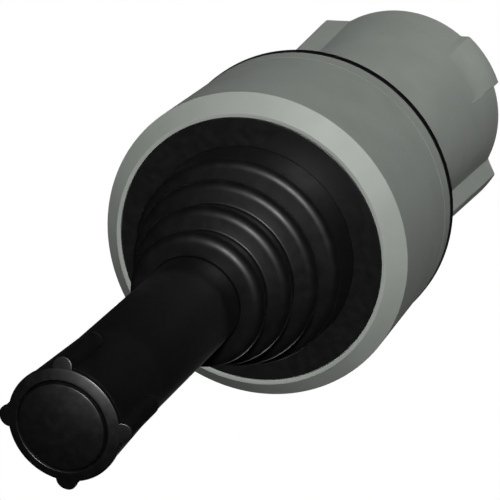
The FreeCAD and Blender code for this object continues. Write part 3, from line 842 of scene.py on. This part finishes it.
def sleeve():
    """Slightly flared sleeve with two ribs that run forward to its collar, and two lugs."""
    levels = [(REAR_Z + rise, SLEEVE_R, RIB_CREST_R - edge) for rise, edge in RIB_END_LEVELS]
    for z in SLEEVE_LEVELS:
        rise = z - REAR_Z
        levels.append((z, SLEEVE_R - SLEEVE_FLARE * rise, RIB_CREST_R - RIB_FLARE * rise))
    neck_r = levels[-1][1]
    step_r = RIB_CREST_R - RIB_FLARE * (STEP_Z - REAR_Z)
    levels.append((STEP_Z, neck_r + NECK_STEP, step_r - SLEEVE_EDGE))
    collar_foot_r = SLEEVE_COLLAR_R - SLEEVE_COLLAR_TAPER
    levels.append((SLEEVE_COLLAR_Z, collar_foot_r, SLEEVE_COLLAR_R + SLEEVE_EDGE))
    collar_z = SLEEVE_COLLAR_Z + SLEEVE_COLLAR_RUN
    levels.append((collar_z, SLEEVE_COLLAR_R, SLEEVE_COLLAR_R + RIB_FADED))
    rows = [sleeve_section(z, barrel_r, crest_r) for z, barrel_r, crest_r in levels]
    ways = [math.atan2(y, x) for x, y, _ in rows[0]]
    for radius, z in (
        (SLEEVE_COLLAR_R, CLAMP_Z - SLEEVE_EDGE),
        (SLEEVE_COLLAR_R + SLEEVE_EDGE, CLAMP_Z),
        (CLAMP_R - SLEEVE_EDGE, CLAMP_Z),
        (CLAMP_R, CLAMP_Z + SLEEVE_EDGE),
        (CLAMP_R, PANEL_Z - SLEEVE_EDGE),
        (CLAMP_R - SLEEVE_EDGE, PANEL_Z),
        (STEP_BORE_R, PANEL_Z),
        (STEP_BORE_R, STEP_Z - SLEEVE_EDGE),
        (SLEEVE_BORE_R, STEP_Z - SLEEVE_EDGE),
        (SLEEVE_BORE_R, REAR_Z + SLEEVE_EDGE),
        (SLEEVE_BORE_R + SLEEVE_EDGE, REAR_Z),
        (SLEEVE_R - SLEEVE_END_EDGE, REAR_Z),
    ):
        rows.append([(radius * math.cos(way), radius * math.sin(way), z) for way in ways])
    parts = [drilled(piece("tube", *stitched(rows), SLEEVE_SHARP_ANGLE))]
    for angle in LUG_ANGLES:
        parts.append(turn(lug(), angle))
    return dress(joined("fixing_sleeve_fine", parts), "grey_sleeve", "housing", "fixing_sleeve")


# Springs, between the two pieces that they press on

def spring(node, size, ends, x=0.0, y=0.0):
    """A compression spring of (coil radius, wire, turns) between two heights."""
    radius, wire, turns = size
    low, high = ends
    slope = math.atan2((high - low - wire) / turns, 2 * math.pi * radius)
    count = turns * SPRING_STEPS
    rows = []
    for step in range(count + 1):
        way = 2 * math.pi * step / SPRING_STEPS
        out = Vector((math.cos(way), math.sin(way), 0))
        up = Vector((math.sin(way) * math.sin(slope), -math.cos(way) * math.sin(slope), math.cos(slope)))
        centre = Vector((x, y, low + wire / 2 + (high - low - wire) * step / count)) + out * radius
        row = []
        for side in range(WIRE_SIDES):
            across, along = polar(wire / 2, 360 * side / WIRE_SIDES)
            row.append(centre + out * across + up * along)
        rows.append(row)
    made = dress(capped(node + "_fine", rows, WIRE_SHARP_ANGLE), "spring_wire", None, node)
    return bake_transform(made)


def button_spring():
    """Lifts the button off the top of the shaft."""
    ends = (SHAFT_TOP_Z, BOSS_Z)
    return spring("button_spring", BUTTON_SPRING, ends)


def centre_spring():
    """Lifts the centre plunger off the guide plate."""
    ends = (PLATE_TOP_Z, CENTRE_HEAD_Z)
    return spring("centre_spring", CENTRE_SPRING, ends)


def plunger_springs():
    """Lift the four outer plungers off the rear cover."""
    ends = (TUBE_END_Z, PLUNGER_COLLAR_Z)
    for side, (x, y) in PLUNGER_PLACES.items():
        spring("plunger_spring_" + side, PLUNGER_SPRING, ends, x, y)


# Parts whose shape is right keep it and get a finish

def dress_nodes():
    """Puts a material on every CAD node, also on those that a finer piece replaces."""
    slots = {part["node"]: part["material_slot"] for part in frame["record"]["subparts"]}
    for name, node in frame["nodes"].items():
        material = MATERIALS[slots[name]]
        if not node.material_slots:
            node.data.materials.append(material)
        for place in node.material_slots:
            place.material = material


# Studio

BLACKS = (MATERIALS["black_plastic"], MATERIALS["black_rubber"])


def glowing_white():
    """White that looks the same from every side."""
    white = bpy.data.materials.new("studio_white")
    white.use_nodes = True
    nodes = white.node_tree.nodes
    nodes.clear()
    glow = nodes.new("ShaderNodeEmission")
    glow.inputs["Color"].default_value = (1, 1, 1, 1)
    glow.inputs["Strength"].default_value = 1.0
    output = nodes.new("ShaderNodeOutputMaterial")
    white.node_tree.links.new(glow.outputs[0], output.inputs["Surface"])
    return white


def surroundings():
    """A white floor and backdrop that only the camera sees."""
    white = glowing_white()
    bpy.ops.mesh.primitive_plane_add(size=FLOOR_SIZE * MM, location=(0, 0, FLOOR_Z * MM))
    floor = bpy.context.object
    floor.name = "floor"
    bpy.ops.mesh.primitive_uv_sphere_add(radius=BACKDROP_R * MM, segments=48, ring_count=24)
    backdrop = bpy.context.object
    backdrop.name = "backdrop"
    for surface in (floor, backdrop):
        surface.data.materials.append(white)
        surface.visible_diffuse = False
        surface.visible_glossy = False
        surface.visible_transmission = False
        surface.visible_shadow = False


def fill():
    """Faint light from all sides."""
    world = bpy.data.worlds.new("fill")
    world.use_nodes = True
    background = world.node_tree.nodes["Background"]
    background.inputs["Color"].default_value = FILL_COLOUR
    background.inputs["Strength"].default_value = FILL_POWER
    bpy.context.scene.world = world


def lamp(name, way, energy, lit):
    """Wide light from one side that falls only on the pieces in a list."""
    way = Vector(way).normalized()
    light = bpy.data.objects.new(name, bpy.data.lights.new(name, "SUN"))
    light.data.energy = energy
    light.data.angle = math.radians(LIGHT_ANGLE)
    light.rotation_mode = "QUATERNION"
    light.rotation_quaternion = way.to_track_quat("Z", "Y")
    light.location = way
    group = bpy.data.collections.new("lit_by_" + name)
    for made in lit:
        group.objects.link(made)
    light.light_linking.receiver_collection = group
    bpy.context.scene.collection.objects.link(light)
    return light


def lights(pieces, ring):
    """A key light, a weaker one from behind and a faint one from below.

    The black pieces have a key and a low light of their own. As in the photograph, the key
    light casts no shadow on the metal and on the face ring.
    """
    black = [made for made in pieces if made.active_material in BLACKS]
    pale = [made for made in pieces if made not in black]
    shaded = [made for made in black if made != ring]
    key = lamp("key", KEY_WAY, KEY_POWER, pale + [ring])
    key.data.use_shadow = False
    lamp("key_on_black", KEY_WAY, KEY_ON_BLACK_POWER, shaded)
    lamp("rear", REAR_WAY, REAR_POWER, pieces)
    lamp("low", LOW_WAY, LOW_POWER, pale)
    lamp("low_on_black", LOW_WAY, LOW_ON_BLACK_POWER, black)


def studio(ring):
    """The light, surroundings and plain colours of the photograph."""
    lights([made for made in bpy.context.scene.objects if made.type == "MESH"], ring)
    fill()
    surroundings()
    bpy.context.scene.view_settings.view_transform = "Standard"
    bpy.context.scene.view_settings.look = "None"


def camera():
    """Stands where the photograph's did."""
    eye = bpy.data.objects.new("camera", bpy.data.cameras.new("camera"))
    eye.data.sensor_width = CAMERA_SENSOR
    eye.data.lens = CAMERA_LENS
    eye.data.clip_start = CAMERA_NEAR * MM
    eye.data.clip_end = CAMERA_FAR * MM
    eye.location = Vector(CAMERA_PLACE) * MM
    eye.rotation_euler = [math.radians(angle) for angle in CAMERA_TURN]
    bpy.context.scene.collection.objects.link(eye)
    bpy.context.scene.camera = eye


dress_nodes()
bezel()
face_ring = face()
gasket()
bellows_lower()
bellows_upper()
handle()
cap()
button()
sleeve()
button_spring()
centre_spring()
plunger_springs()
studio(face_ring)
camera()
